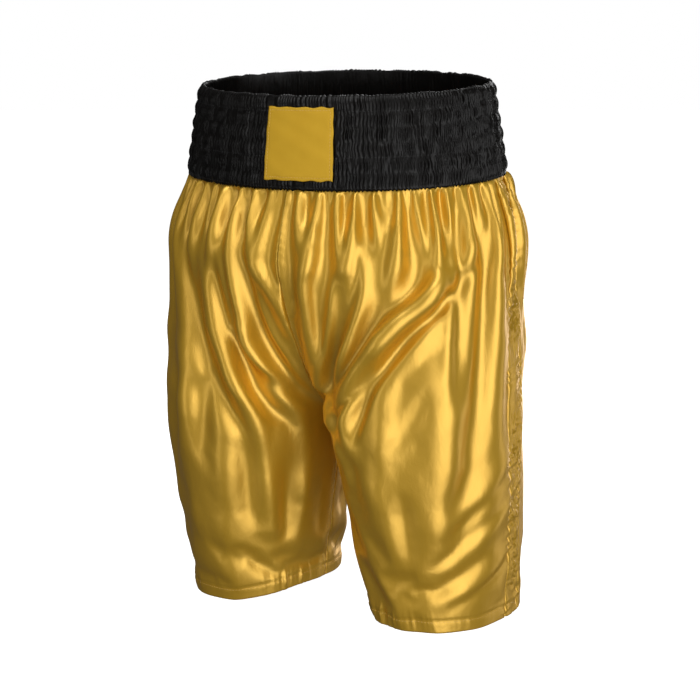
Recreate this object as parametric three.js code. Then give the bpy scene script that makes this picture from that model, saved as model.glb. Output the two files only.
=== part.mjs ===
// Boxing shorts: a shirred waistband over two long satin half-garments, standing on their hems.
// Frame: millimetres, +Z up, front towards -Y, the wearer's left towards +X, hems on z = 0.
import * as THREE from 'three';

// Overall shape
const totalHeight = 574; // waistband rim above the floor, at the middle of the depth
const bandHeight = 95; // waistband, from the waist seam to the rim
const waistTilt = 0.1; // rise per unit of depth: the waist sits lower at the front
const rimHalfWidth = 170;
const rimHalfDepth = 108;
const seamHalfWidth = 186; // outer face of the waistband at the waist seam
const seamHalfDepth = 119;
const hipHalfWidth = 206;
const hipHalfDepth = 140;
const hipHeight = 400; // where the torso reaches its full girth
const crotchHeight = 212;
const riseTurnHeight = 400; // where the front and back rise start to turn inwards
const riseFullness = 1.45; // exponent of the rise curve: 1 is a straight line, 2 a quarter ellipse

// Legs
const thighHalfDepth = 129; // leg section at the crotch
const thighCentreDepth = 2;
const hemHalfWidth = 75;
const hemHalfDepth = 103;
const hemCentreWidth = 117; // middle of each hem, out from the centre plane
const hemCentreDepth = 28;
const hemLift = 14; // the hem is this much higher at the inseam
const hemDepth = 16; // turned-up cloth

// Side strips
const stripWidth = 36;
const stripSetBack = 14; // middle of the strip, behind the side line

// Waistband details
const stitchRowCount = 5;
const channelBulge = 2; // how far the shirred cloth stands out between stitch rows
const waistSeamInset = 3; // waist seam stitching above the waistband's lower edge
const tuckDepth = 8; // panel edge held inside the waistband
const patchWidth = 78;
const patchHeight = 74;
const patchOffset = 14; // middle of the patch, to the wearer's left of centre front
const patchLift = 10.5; // lower edge of the patch above the waistband's lower edge
const patchStitchInset = 3;

// Cloth, elastic, thread and clearances
const clothThickness = 1.2;
const elasticThickness = 1.2;
const patchThickness = 1;
const threadRadius = 0.4;
const clearance = 0.3;

// Facets
const ringStations = 48; // around the waist
const stripSegments = 2;
const torsoRows = 12;
const legRows = 9;
const patchStations = 9;

const waistSeamHeight = totalHeight - bandHeight;
const panelSegments = (ringStations / 2 - stripSegments) / 2;
const tuckInset = clothThickness + clearance; // panel face inside the waistband's outer cloth
const channelWidth = clothThickness + 2 * clearance; // free room between the casing's two walls
const innerWallInset = clothThickness + channelWidth;
const seamAllowance = clearance / 2; // each panel stops this far short of a seam line
const crotchShare = 0.56; // share of the rows' parameter used above the crotch
const straightShare = 0.2; // share used before the rise turns

const clamp01 = (value) => Math.min(1, Math.max(0, value));
const mix = (from, to, share) => from + (to - from) * share;

function smooth(value) {
  const t = clamp01(value);
  return t * t * (3 - 2 * t);
}

// A point of the waistband: h above the waist seam, inset inwards from its outer face.
function bandPoint(angle, h, inset) {
  const halfWidth = mix(seamHalfWidth, rimHalfWidth, h / bandHeight) - inset;
  const halfDepth = mix(seamHalfDepth, rimHalfDepth, h / bandHeight) - inset;
  const y = -halfDepth * Math.cos(angle);
  return new THREE.Vector3(halfWidth * Math.sin(angle), y, waistSeamHeight + h + waistTilt * y);
}

// The torso's half width and half depth at a height.
function torsoSection(z) {
  const share = smooth((waistSeamHeight - z) / (waistSeamHeight - hipHeight)) ** 0.7;
  return {
    halfWidth: mix(seamHalfWidth - tuckInset, hipHalfWidth, share),
    halfDepth: mix(seamHalfDepth - tuckInset, hipHalfDepth, share),
  };
}

// The leg's centre and half sizes, by the share of the way down from crotch to hem.
function legSection(share) {
  const innerHem = hemCentreWidth - hemHalfWidth;
  const inner = innerHem * (0.25 * Math.sqrt(share) + 0.75 * share);
  const outer = mix(hipHalfWidth, hemCentreWidth + hemHalfWidth, share);
  return {
    centreX: (inner + outer) / 2,
    centreY: mix(thighCentreDepth, hemCentreDepth, share),
    halfWidth: (outer - inner) / 2,
    halfDepth: mix(thighHalfDepth, hemHalfDepth, share),
  };
}

// The half-garment on the wearer's left. u runs from centre front round the side to centre back,
// and below the crotch from the inseam round the leg to the inseam; v runs from waist seam to hem.
// Near u = 0 and u = 1 the rows dip along the rise curve, which lies in the centre plane.
function halfSurface(u, v) {
  const riseShare = clamp01((v - straightShare) / (crotchShare - straightShare));
  const riseAngle = riseShare * Math.PI / 2;
  const exponent = 2 / riseFullness;
  const nearRise = (1 - Math.sin(Math.PI * u)) ** 1.5;

  const lift = hemLift * (1 - smooth(Math.min(u, 1 - u) / 0.25));
  const legHeight = mix(crotchHeight, lift, clamp01((v - crotchShare) / (1 - crotchShare)));
  const aboveTurn = mix(waistSeamHeight, riseTurnHeight, v / straightShare);
  const belowTurn = mix(riseTurnHeight, crotchHeight, Math.sin(riseAngle) ** exponent);
  const riseHeight = v < straightShare ? aboveTurn : belowTurn;
  const sideHeight = mix(waistSeamHeight, crotchHeight, v / crotchShare);
  const z = v < crotchShare ? mix(sideHeight, riseHeight, nearRise) : legHeight;

  const pullAtRise = 1 - Math.max(0, Math.cos(riseAngle)) ** exponent;
  const turnStart = 0.7 * straightShare;
  const pullAtSide = smooth((v - turnStart) / (crotchShare - turnStart));
  const pull = mix(pullAtSide, pullAtRise, nearRise); // from the torso's section to the leg's

  const torso = torsoSection(z);
  const leg = legSection(clamp01((crotchHeight - z) / crotchHeight));
  const torsoX = torso.halfWidth * Math.sin(Math.PI * u);
  const torsoY = -torso.halfDepth * Math.cos(Math.PI * u);
  const legX = leg.centreX - leg.halfWidth * Math.cos(2 * Math.PI * u);
  const legY = leg.centreY - leg.halfDepth * Math.sin(2 * Math.PI * u);
  const y = mix(torsoY, legY, pull);
  const tilt = waistTilt * y * (1 - smooth(v / 0.45));
  return new THREE.Vector3(mix(torsoX, legX, pull), y, z + tilt);
}

// The u of a line that stays a set distance behind the side line.
function stripEdge(v, behindSide) {
  const step = 0.01;
  const span = halfSurface(0.5 + step, v).distanceTo(halfSurface(0.5 - step, v));
  return 0.5 + behindSide * 2 * step / span;
}

// One closed solid from sections of equal point count. Each section is a band: its first half of
// points runs out and its second half runs back, so an end is closed by the rungs between them.
function sweptSolid(sections, isLoop) {
  const count = sections[0].length;
  const positions = sections.flat().flatMap((p) => [p.x, p.y, p.z]);
  const index = [];
  const quad = (a, b, c, d) => index.push(a, b, c, a, c, d);
  const lastSection = isLoop ? sections.length : sections.length - 1;
  for (let s = 0; s < lastSection; s += 1) {
    const here = s * count;
    const next = ((s + 1) % sections.length) * count;
    for (let k = 0; k < count; k += 1) {
      const after = (k + 1) % count;
      quad(here + k, next + k, next + after, here + after);
    }
  }
  if (!isLoop) {
    const end = (sections.length - 1) * count;
    for (let k = 0; k < count / 2 - 1; k += 1) {
      quad(k, k + 1, count - 2 - k, count - 1 - k);
      quad(end + count - 1 - k, end + count - 2 - k, end + k + 1, end + k);
    }
  }
  return facingOut(positions, index);
}

// Turns a closed mesh inside out if its signed volume is negative.
function facingOut(positions, index) {
  const corner = (k) => new THREE.Vector3().fromArray(positions, 3 * index[k]);
  let volume = 0;
  for (let k = 0; k < index.length; k += 3) {
    volume += corner(k).dot(corner(k + 1).cross(corner(k + 2)));
  }
  if (volume < 0) index.reverse();
  const geometry = new THREE.BufferGeometry();
  geometry.setAttribute('position', new THREE.Float32BufferAttribute(positions, 3));
  geometry.setIndex(index);
  geometry.computeVertexNormals();
  return geometry;
}

// Thread laid on a surface: a square section standing on its corner, just clear of the cloth.
function threadSolid(path, normals, isLoop) {
  const sections = path.map((point, k) => {
    const before = path[isLoop ? (k + path.length - 1) % path.length : Math.max(0, k - 1)];
    const after = path[isLoop ? (k + 1) % path.length : Math.min(path.length - 1, k + 1)];
    const along = new THREE.Vector3().subVectors(after, before).normalize();
    const side = new THREE.Vector3().crossVectors(along, normals[k]).setLength(threadRadius);
    const out = normals[k].clone().setLength(threadRadius);
    const middle = point.clone().addScaledVector(normals[k], clearance + threadRadius);
    return [
      middle.clone().add(out),
      middle.clone().add(side),
      middle.clone().sub(out),
      middle.clone().sub(side),
    ];
  });
  return sweptSolid(sections, isLoop);
}

// Rows of the half-garment: the tucked edge, waist seam to crotch, crotch to hem, turned-up hem.
const hemShare = 1 - (1 - crotchShare) * hemDepth / crotchHeight;
const hemStepShare = 0.003; // the turned-up cloth starts over this short step
const rowValues = [];
for (let k = 0; k <= torsoRows; k += 1) rowValues.push(crotchShare * k / torsoRows);
for (let k = 1; k <= legRows; k += 1) rowValues.push(mix(crotchShare, hemShare, k / legRows));
rowValues.push(hemShare + hemStepShare, 1);
const tuckRow = 0;
const seamRow = 1;
const crotchRow = seamRow + torsoRows;
const hemTopRow = crotchRow + legRows;

// Columns: front panel, strip, back panel.
const stripFrontColumn = panelSegments;
const stripBackColumn = panelSegments + stripSegments;
const lastColumn = 2 * panelSegments + stripSegments;

function columnValue(column, v) {
  const frontEdge = stripEdge(v, stripSetBack - stripWidth / 2);
  const backEdge = stripEdge(v, stripSetBack + stripWidth / 2);
  if (column <= stripFrontColumn) return frontEdge * column / panelSegments;
  if (column >= stripBackColumn) {
    return mix(backEdge, 1, (column - stripBackColumn) / panelSegments);
  }
  return mix(frontEdge, backEdge, (column - stripFrontColumn) / stripSegments);
}

function halfPoints() {
  const columns = [...Array(lastColumn + 1).keys()];
  const rows = rowValues.map((v) => columns.map((c) => halfSurface(columnValue(c, v), v)));
  const tucked = columns.map((c) => bandPoint(Math.PI * columnValue(c, 0), tuckDepth, tuckInset));
  return [tucked, ...rows];
}

// Outward normals of the half-garment, shared across the centre seams and the inseam.
function halfNormals(points) {
  const normals = points.map((row) => row.map(() => new THREE.Vector3()));
  for (let r = 0; r < points.length - 1; r += 1) {
    for (let c = 0; c < lastColumn; c += 1) {
      const across = new THREE.Vector3().subVectors(points[r + 1][c + 1], points[r][c]);
      const back = new THREE.Vector3().subVectors(points[r + 1][c], points[r][c + 1]);
      const facet = back.cross(across);
      for (const [row, column] of [[r, c], [r + 1, c], [r, c + 1], [r + 1, c + 1]]) {
        normals[row][column].add(facet);
      }
    }
  }
  normals.forEach((row, r) => {
    if (r >= crotchRow) {
      const shared = row[0].clone().add(row[lastColumn]);
      row[0].copy(shared);
      row[lastColumn].copy(shared);
    }
    if (r <= crotchRow) {
      row[0].x = 0;
      row[lastColumn].x = 0;
    }
    row.forEach((normal) => normal.normalize());
  });
  return normals;
}

const surfacePoints = halfPoints();
const surfaceNormals = halfNormals(surfacePoints);

// Panel between two columns, each edge held back from its seam line; cloth doubled at the hem.
function panelSolid(firstColumn, finalColumn) {
  const sections = surfacePoints.map((row, r) => {
    const thickness = r > hemTopRow ? 2 * clothThickness : clothThickness;
    const outer = [];
    for (let c = firstColumn; c <= finalColumn; c += 1) {
      const point = row[c].clone();
      const neighbour = c === firstColumn ? row[c + 1] : row[c - 1];
      if (c === firstColumn || c === finalColumn) {
        const inwards = new THREE.Vector3().subVectors(neighbour, row[c]).setLength(seamAllowance);
        point.add(inwards);
      }
      if (r <= crotchRow) point.x = Math.max(point.x, seamAllowance);
      outer.push(point);
    }
    const inner = outer.map((point, k) => {
      const normal = surfaceNormals[r][firstColumn + k];
      const offset = point.clone().addScaledVector(normal, -thickness);
      const isHemEdge = r === surfacePoints.length - 1;
      if (isHemEdge) offset.z = point.z;
      return offset;
    });
    return [...outer, ...inner.reverse()];
  });
  return sweptSolid(sections, false);
}

function columnThread(column, fromRow, toRow) {
  const rows = [...Array(toRow - fromRow + 1).keys()].map((k) => k + fromRow);
  return threadSolid(
    rows.map((r) => surfacePoints[r][column]),
    rows.map((r) => surfaceNormals[r][column]),
    false,
  );
}

function hemThread() {
  return threadSolid(
    surfacePoints[hemTopRow].slice(0, lastColumn),
    surfaceNormals[hemTopRow].slice(0, lastColumn),
    true,
  );
}

// The wearer's right half is the left half seen in the centre plane.
function mirrored(geometry) {
  const positions = [...geometry.getAttribute('position').array];
  for (let k = 0; k < positions.length; k += 3) positions[k] = -positions[k];
  return facingOut(positions, [...geometry.getIndex().array]);
}

// Stations round the waistband stand at the panels' columns, so that their facets lie parallel.
const leftAngles = [...Array(lastColumn + 1).keys()].map((c) => Math.PI * columnValue(c, 0));
const rightAngles = leftAngles.slice(1, -1).reverse().map((angle) => 2 * Math.PI - angle);
const stationAngles = [...leftAngles, ...rightAngles];
const stitchRowPitch = (bandHeight - waistSeamInset) / (stitchRowCount + 1);
const stitchRowHeight = (row) => waistSeamInset + row * stitchRowPitch;

// The casing's section is an upside-down U: shirred outer wall, fold over the rim, inner wall.
function casingSolid() {
  const profile = [[0, 0], [waistSeamInset, 0]];
  for (let row = 0; row <= stitchRowCount; row += 1) {
    const bottom = stitchRowHeight(row);
    profile.push([bottom + 0.25 * stitchRowPitch, -channelBulge]);
    profile.push([bottom + 0.75 * stitchRowPitch, -channelBulge]);
    const isRim = row === stitchRowCount;
    if (!isRim) profile.push([bottom + stitchRowPitch, 0]);
  }
  const overall = innerWallInset + clothThickness;
  const rim = bandHeight;
  profile.push([rim, clothThickness / 2], [rim, overall - clothThickness / 2]);
  profile.push([rim - clothThickness, overall], [0, overall], [0, innerWallInset]);
  profile.push([rim - clothThickness, innerWallInset], [rim - clothThickness, clothThickness]);
  profile.push([0, clothThickness]);
  const section = (angle) => profile.map(([h, inset]) => bandPoint(angle, h, inset));
  return sweptSolid(stationAngles.map(section), true);
}

function elasticSolid() {
  const low = tuckDepth + clearance;
  const high = bandHeight - clothThickness - clearance;
  const near = clothThickness + (channelWidth - elasticThickness) / 2;
  const far = near + elasticThickness;
  const section = (angle) => [
    bandPoint(angle, low, near),
    bandPoint(angle, high, near),
    bandPoint(angle, high, far),
    bandPoint(angle, low, far),
  ];
  return sweptSolid(stationAngles.map(section), true);
}

// Outward direction of the waistband at an angle round it.
function bandNormal(angle) {
  const x = Math.sin(angle) / seamHalfWidth;
  const y = -Math.cos(angle) / seamHalfDepth;
  return new THREE.Vector3(x, y, 0).normalize();
}

function bandThread(h) {
  return threadSolid(
    stationAngles.map((angle) => bandPoint(angle, h, 0)),
    stationAngles.map(bandNormal),
    true,
  );
}

// Angle round the waistband of a point a set distance from centre front.
const patchAngle = (fromFront) => fromFront / mix(seamHalfWidth, rimHalfWidth, 0.5);
const patchBack = -(channelBulge + clearance); // inset of the patch's back face
const patchFace = patchBack - patchThickness;

function patchSolid() {
  const sections = [];
  for (let k = 0; k < patchStations; k += 1) {
    const angle = patchAngle(patchOffset + patchWidth * (k / (patchStations - 1) - 0.5));
    sections.push([
      bandPoint(angle, patchLift, patchFace),
      bandPoint(angle, patchLift + patchHeight, patchFace),
      bandPoint(angle, patchLift + patchHeight, patchBack),
      bandPoint(angle, patchLift, patchBack),
    ]);
  }
  return sweptSolid(sections, false);
}

// A closed run of stitching just inside the patch's border.
function patchThread() {
  const reach = patchWidth / 2 - patchStitchInset;
  const low = patchLift + patchStitchInset;
  const high = patchLift + patchHeight - patchStitchInset;
  const across = [...Array(patchStations).keys()].map((k) => mix(-reach, reach, k / (patchStations - 1)));
  const corners = [
    ...across.map((x) => [x, low]),
    ...[...across].reverse().map((x) => [x, high]),
  ];
  const angles = corners.map(([x]) => patchAngle(patchOffset + x));
  return threadSolid(
    corners.map(([, h], k) => bandPoint(angles[k], h, patchFace)),
    angles.map(bandNormal),
    true,
  );
}

const goldSatin = new THREE.MeshStandardMaterial({ color: 0xc9992e, roughness: 0.34, metalness: 0.1 });
const blackSatin = new THREE.MeshStandardMaterial({ color: 0x1d1b1b, roughness: 0.5, metalness: 0 });
const patchCloth = new THREE.MeshStandardMaterial({ color: 0xbf9a2b, roughness: 0.8, metalness: 0 });
const elasticRubber = new THREE.MeshStandardMaterial({ color: 0x35322f, roughness: 0.9, metalness: 0 });
const goldThread = new THREE.MeshStandardMaterial({ color: 0xb98a2a, roughness: 0.6, metalness: 0 });
const blackThread = new THREE.MeshStandardMaterial({ color: 0x0f0e0e, roughness: 0.6, metalness: 0 });

const group = new THREE.Group();

function addPiece(name, geometry, material) {
  const mesh = new THREE.Mesh(geometry, material);
  mesh.name = name;
  group.add(mesh);
}

function addPair(name, geometry, material) {
  addPiece(`${name}_left`, geometry, material);
  addPiece(`${name}_right`, mirrored(geometry), material);
}

addPiece('waistband_casing', casingSolid(), blackSatin);
addPiece('waistband_elastic', elasticSolid(), elasticRubber);
for (let row = 1; row <= stitchRowCount; row += 1) {
  addPiece(`waistband_stitch_row_${row}`, bandThread(stitchRowHeight(row)), blackThread);
}
addPiece('waist_seam_thread', bandThread(waistSeamInset), blackThread);
addPiece('waistband_patch', patchSolid(), patchCloth);
addPiece('patch_stitching', patchThread(), goldThread);

addPair('front_panel', panelSolid(0, stripFrontColumn), goldSatin);
addPair('side_strip', panelSolid(stripFrontColumn, stripBackColumn), goldSatin);
addPair('back_panel', panelSolid(stripBackColumn, lastColumn), goldSatin);

addPiece('front_rise_thread', columnThread(0, seamRow + 1, crotchRow - 1), goldThread);
addPiece('back_rise_thread', columnThread(lastColumn, seamRow + 1, crotchRow - 1), goldThread);
addPair('inseam_thread', columnThread(0, crotchRow + 1, hemTopRow - 1), goldThread);
addPair('side_seam_thread_front', columnThread(stripFrontColumn, seamRow + 1, hemTopRow - 1), goldThread);
addPair('side_seam_thread_back', columnThread(stripBackColumn, seamRow + 1, hemTopRow - 1), goldThread);
addPair('hem_stitching', hemThread(), goldThread);

export default group;
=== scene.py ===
import math
import bpy
import numpy as np
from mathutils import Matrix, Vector


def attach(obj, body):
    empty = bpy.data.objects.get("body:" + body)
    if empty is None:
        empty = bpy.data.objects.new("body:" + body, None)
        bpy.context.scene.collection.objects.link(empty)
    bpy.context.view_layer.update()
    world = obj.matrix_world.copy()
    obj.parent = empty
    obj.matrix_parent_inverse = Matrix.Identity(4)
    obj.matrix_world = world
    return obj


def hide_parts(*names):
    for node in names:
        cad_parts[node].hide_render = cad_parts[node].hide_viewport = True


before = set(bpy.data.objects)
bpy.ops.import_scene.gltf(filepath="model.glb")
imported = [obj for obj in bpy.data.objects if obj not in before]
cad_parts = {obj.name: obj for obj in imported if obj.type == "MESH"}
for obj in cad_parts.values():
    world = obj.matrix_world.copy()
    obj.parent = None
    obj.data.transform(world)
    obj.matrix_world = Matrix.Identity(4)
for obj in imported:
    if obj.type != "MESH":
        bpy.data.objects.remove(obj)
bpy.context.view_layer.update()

scene = bpy.context.scene

# Driving sizes of the shorts, metres, the same as the CAD part's
shape = {
    "totalHeight": 0.574,
    "bandHeight": 0.095,
    "waistTilt": 0.1,
    "rimHalf": (0.170, 0.108),
    "seamHalf": (0.186, 0.119),
    "hipHalf": (0.206, 0.140),
    "hipHeight": 0.400,
    "crotchHeight": 0.212,
    "riseTurnHeight": 0.400,
    "riseFullness": 1.45,
    "thighHalfDepth": 0.129,
    "thighCentreDepth": 0.002,
    "hemHalf": (0.075, 0.103),
    "hemCentre": (0.117, 0.028),
    "hemLift": 0.014,
    "hemDepth": 0.016,
    "stripWidth": 0.036,
    "stripSetBack": 0.014,
    "tuck": 0.0015,          # satin lies this far inside the waistband's face
    "crotchShare": 0.56,     # v at the crotch
    "straightShare": 0.2,    # v at which the rise starts to turn under
}
waistHeight = shape["totalHeight"] - shape["bandHeight"]
bandMiddleHalf = (shape["seamHalf"][0] + shape["rimHalf"][0]) / 2


def mix(a, b, t):  # a at t = 0, b at t = 1
    return a + (b - a) * t


def smooth(t):  # 3 t^2 - 2 t^3, level at both ends
    t = np.clip(t, 0, 1)
    return t * t * (3 - 2 * t)


def bump(distance, width):  # a bell, 1 at the middle and 0.37 at the width
    return np.exp(-(distance / width) ** 2)


# Sum of sines of t, frequencies from low to high with seeded phases, about -1 to 1
def wobble(t, count, low, high, seed):
    r = np.random.default_rng(seed)
    total = np.zeros(np.shape(t))
    for f, p in zip(r.uniform(low, high, count), r.uniform(0, 2 * math.pi, count)):
        total = total + np.sin(2 * math.pi * f * t + p)
    return total / math.sqrt(count)


# Waistband's face: x = a sin, y = -b cos, z = seam + h + tilt y, with a and b going from seam to rim
def bandSurface(angle, h, inset):
    share = h / shape["bandHeight"]
    a = mix(shape["seamHalf"][0], shape["rimHalf"][0], share) - inset
    b = mix(shape["seamHalf"][1], shape["rimHalf"][1], share) - inset
    y = -b * np.cos(angle)
    z = waistHeight + h + shape["waistTilt"] * y
    return np.stack(np.broadcast_arrays(a * np.sin(angle), y, z), -1)


# Half-garment: a torso ellipse blended into a leg ellipse, u from the front seam round to the back one,
# v from waist to hem; near the seams the rows dip along the rise to the crotch
def halfSurface(u, v):
    cs, ss, zc = shape["crotchShare"], shape["straightShare"], shape["crotchHeight"]
    rise = np.clip((v - ss) / (cs - ss), 0, 1) * math.pi / 2
    power = 2 / shape["riseFullness"]
    near = np.clip(1 - np.sin(math.pi * u), 0, 1) ** 1.5
    lift = shape["hemLift"] * (1 - smooth(np.minimum(u, 1 - u) / 0.25))
    legZ = mix(zc, lift, np.clip((v - cs) / (1 - cs), 0, 1))
    above = mix(waistHeight, shape["riseTurnHeight"], v / ss)
    below = mix(shape["riseTurnHeight"], zc, np.sin(rise) ** power)
    riseZ = np.where(v < ss, above, below)
    z = np.where(v < cs, mix(mix(waistHeight, zc, v / cs), riseZ, near), legZ)
    atRise = 1 - np.clip(np.cos(rise), 0, 1) ** power
    atSide = smooth((v - 0.7 * ss) / (cs - 0.7 * ss))
    pull = mix(atSide, atRise, near)
    share = smooth((waistHeight - z) / (waistHeight - shape["hipHeight"])) ** 0.7
    a = mix(shape["seamHalf"][0] - shape["tuck"], shape["hipHalf"][0], share)
    b = mix(shape["seamHalf"][1] - shape["tuck"], shape["hipHalf"][1], share)
    down = np.clip((zc - z) / zc, 0, 1)
    inner = (shape["hemCentre"][0] - shape["hemHalf"][0]) * (0.25 * np.sqrt(down) + 0.75 * down)
    outer = mix(shape["hipHalf"][0], shape["hemCentre"][0] + shape["hemHalf"][0], down)
    legX = (inner + outer) / 2 - (outer - inner) / 2 * np.cos(2 * math.pi * u)
    legHalf = mix(shape["thighHalfDepth"], shape["hemHalf"][1], down)
    legY = mix(shape["thighCentreDepth"], shape["hemCentre"][1], down) - legHalf * np.sin(2 * math.pi * u)
    x = mix(a * np.sin(math.pi * u), legX, pull)
    y = mix(-b * np.cos(math.pi * u), legY, pull)
    z = z + shape["waistTilt"] * y * (1 - smooth(v / 0.45))
    return np.stack([x, y, z], -1)


# Grid of each half-garment: front columns, strip columns, back columns
grid = {"front": 68, "strip": 8, "back": 68, "torso": 60, "leg": 50, "finer": 2}


# u of every column for each v: even shares of the front, the strip and the back
def columnsAt(v):
    step = 0.01
    span = np.linalg.norm(halfSurface(0.5 + step, v) - halfSurface(0.5 - step, v), axis=-1)
    perMetre = 2 * step / span
    front = 0.5 + (shape["stripSetBack"] - shape["stripWidth"] / 2) * perMetre
    back = 0.5 + (shape["stripSetBack"] + shape["stripWidth"] / 2) * perMetre
    f = np.linspace(0, 1, grid["front"] + 1)[None, :]
    s = np.linspace(0, 1, grid["strip"] + 1)[None, 1:]
    b = np.linspace(0, 1, grid["back"] + 1)[None, 1:]
    front, back = front[:, None], back[:, None]
    return np.concatenate([front * f, mix(front, back, s), mix(back, 1, b)], 1)


vRows = np.concatenate([
    np.linspace(0, shape["crotchShare"], grid["torso"] + 1),
    np.linspace(shape["crotchShare"], 1, grid["leg"] + 1)[1:],
])
uGrid = columnsAt(vRows)
vGrid = np.repeat(vRows[:, None], uGrid.shape[1], 1)
crotchRow = grid["torso"]


softening = {"rounds": 60, "seamWidth": 0.12, "reach": 0.16, "hemShare": 0.1}


# Each row averaged with its neighbours (1, 2, 1), away from the seams, so that torso runs into leg
def softened(p):
    hold = smooth(np.minimum(uGrid, 1 - uGrid) / softening["seamWidth"] - 0.15)
    nearCrotch = bump(vGrid - shape["crotchShare"], softening["reach"])
    hold = (hold * (nearCrotch * smooth((1 - vGrid) / softening["hemShare"])))[..., None]
    for _ in range(softening["rounds"]):
        middle = p.copy()
        middle[1:-1] = (p[:-2] + 2 * p[1:-1] + p[2:]) / 4
        p = mix(p, middle, hold)
    return p


baseHalf = softened(halfSurface(uGrid, vGrid))


# Unit normals of a half grid: cross product of its two directions, shared where edges are sewn
def gridNormals(p, side):
    n = np.cross(np.gradient(p, axis=1), np.gradient(p, axis=0)) * -side
    edge = n[:, 0] + n[:, -1]
    crotch = crotchRow * (p.shape[0] - 1) // (len(vRows) - 1)
    n[crotch:, 0] = edge[crotch:]
    n[crotch:, -1] = edge[crotch:]
    n[: crotch + 1, [0, -1], 0] = 0
    return n / np.maximum(np.linalg.norm(n, axis=-1, keepdims=True), 1e-9)


# Folds placed one by one: side (1 wearer's left, -1 right, 0 both), height, half width in millimetres,
# and the (u, v) points that the crest runs through
folds = [
    (-1, 9.0, 10, [(0.14, 0.03), (0.165, 0.21), (0.18, 0.34), (0.17, 0.44), (0.145, 0.60), (0.13, 0.82)]),
    (-1, 7.0, 8, [(0.10, 0.06), (0.10, 0.28), (0.115, 0.37), (0.06, 0.43)]),
    (-1, 5.0, 7, [(0.04, 0.20), (0.012, 0.28), (0.0, 0.33)]),
    (-1, 5.5, 8, [(0.125, 0.46), (0.085, 0.53), (0.065, 0.64), (0.07, 0.74)]),
    (-1, -6.0, 8, [(0.07, 0.20), (0.075, 0.33), (0.05, 0.42), (0.03, 0.50)]),
    (-1, -6.0, 9, [(0.14, 0.36), (0.14, 0.44), (0.105, 0.54), (0.095, 0.68), (0.10, 0.90)]),
    (-1, 4.5, 18, [(0.24, 0.08), (0.27, 0.30), (0.29, 0.50), (0.29, 0.85)]),
    (-1, 3.0, 16, [(0.37, 0.05), (0.38, 0.30), (0.385, 0.60), (0.38, 0.95)]),
    (-1, 4.0, 14, [(0.205, 0.60), (0.215, 0.80), (0.21, 0.98)]),
    (-1, -5.0, 12, [(0.02, 0.50), (0.03, 0.66), (0.03, 0.86)]),
    (1, 9.5, 11, [(0.355, 0.135), (0.285, 0.245), (0.23, 0.34), (0.195, 0.46), (0.195, 0.585)]),
    (1, 6.0, 8, [(0.30, 0.19), (0.245, 0.27), (0.20, 0.36), (0.155, 0.46), (0.13, 0.54)]),
    (1, -6.5, 7, [(0.32, 0.235), (0.262, 0.32), (0.222, 0.42), (0.215, 0.55)]),
    (1, -3.5, 8, [(0.305, 0.015), (0.33, 0.12), (0.355, 0.29), (0.38, 0.465)]),
    (1, 6.0, 22, [(0.335, 0.33), (0.375, 0.525), (0.355, 0.685), (0.325, 0.90)]),
    (1, -7.0, 7, [(0.115, 0.22), (0.115, 0.32), (0.095, 0.42), (0.06, 0.50)]),
    (1, -5.0, 6, [(0.215, 0.35), (0.205, 0.415), (0.17, 0.50)]),
    (1, 8.0, 7, [(0.02, 0.30), (0.04, 0.395), (0.11, 0.48), (0.165, 0.575), (0.18, 0.66)]),
    (1, 5.0, 7, [(0.065, 0.155), (0.05, 0.25), (0.06, 0.35), (0.09, 0.44)]),
    (1, 6.0, 8, [(0.15, 0.10), (0.16, 0.24), (0.15, 0.34), (0.12, 0.44)]),
    (1, 2.4, 9, [(0.50, 0.60), (0.44, 0.66), (0.36, 0.75)]),
    (1, 2.4, 8, [(0.50, 0.71), (0.43, 0.77), (0.35, 0.85)]),
    (1, 2.4, 8, [(0.49, 0.83), (0.42, 0.88), (0.34, 0.93)]),
    (1, 5.0, 14, [(0.44, 0.10), (0.445, 0.30), (0.45, 0.50)]),
    (1, 4.0, 15, [(0.26, 0.55), (0.25, 0.75), (0.24, 0.97)]),
    (1, -1.5, 12, [(0.31, 0.62), (0.295, 0.80), (0.29, 0.97)]),
    (0, 7.0, 12, [(0.90, 0.05), (0.87, 0.22), (0.86, 0.36), (0.90, 0.47)]),
    (0, -5.0, 10, [(0.93, 0.10), (0.91, 0.28), (0.92, 0.42)]),
    (1, 7.0, 15, [(0.80, 0.05), (0.78, 0.25), (0.80, 0.45), (0.84, 0.60), (0.83, 0.90)]),
    (-1, 7.0, 14, [(0.79, 0.04), (0.76, 0.24), (0.79, 0.42), (0.82, 0.62), (0.80, 0.92)]),
    (1, 6.0, 18, [(0.68, 0.05), (0.66, 0.35), (0.70, 0.60), (0.71, 0.95)]),
    (-1, 6.0, 16, [(0.66, 0.06), (0.65, 0.33), (0.68, 0.58), (0.69, 0.95)]),
    (0, 6.0, 9, [(0.76, 0.30), (0.84, 0.42), (0.92, 0.50), (0.97, 0.55)]),
    (0, -5.0, 12, [(0.97, 0.52), (0.96, 0.68), (0.965, 0.88)]),
]


# Catmull-Rom cubic through rows of p at places t, with a mirrored row added at either end
def throughRows(p, t):
    k = np.minimum(t.astype(int), len(p) - 2)
    f = (t - k).reshape(-1, *([1] * (p.ndim - 1)))
    q = np.concatenate([[2 * p[0] - p[1]], p, [2 * p[-1] - p[-2]]])
    a, b, c, d = q[k], q[k + 1], q[k + 2], q[k + 3]
    return 0.5 * (2 * b + (c - a) * f + (2 * a - 5 * b + 4 * c - d) * f**2 + (3 * b - a - 3 * c + d) * f**3)


foldShape = {
    "samples": 26,
    "flank": (1.05, 0.3),      # width of both flanks, and how much steeper one is
    "trough": (0.3, 1.9, 0.8), # depth, place and width of the trough beside a crest, in widths
    "lowest": -0.009,
    "highest": 0.0125,
}


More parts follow.
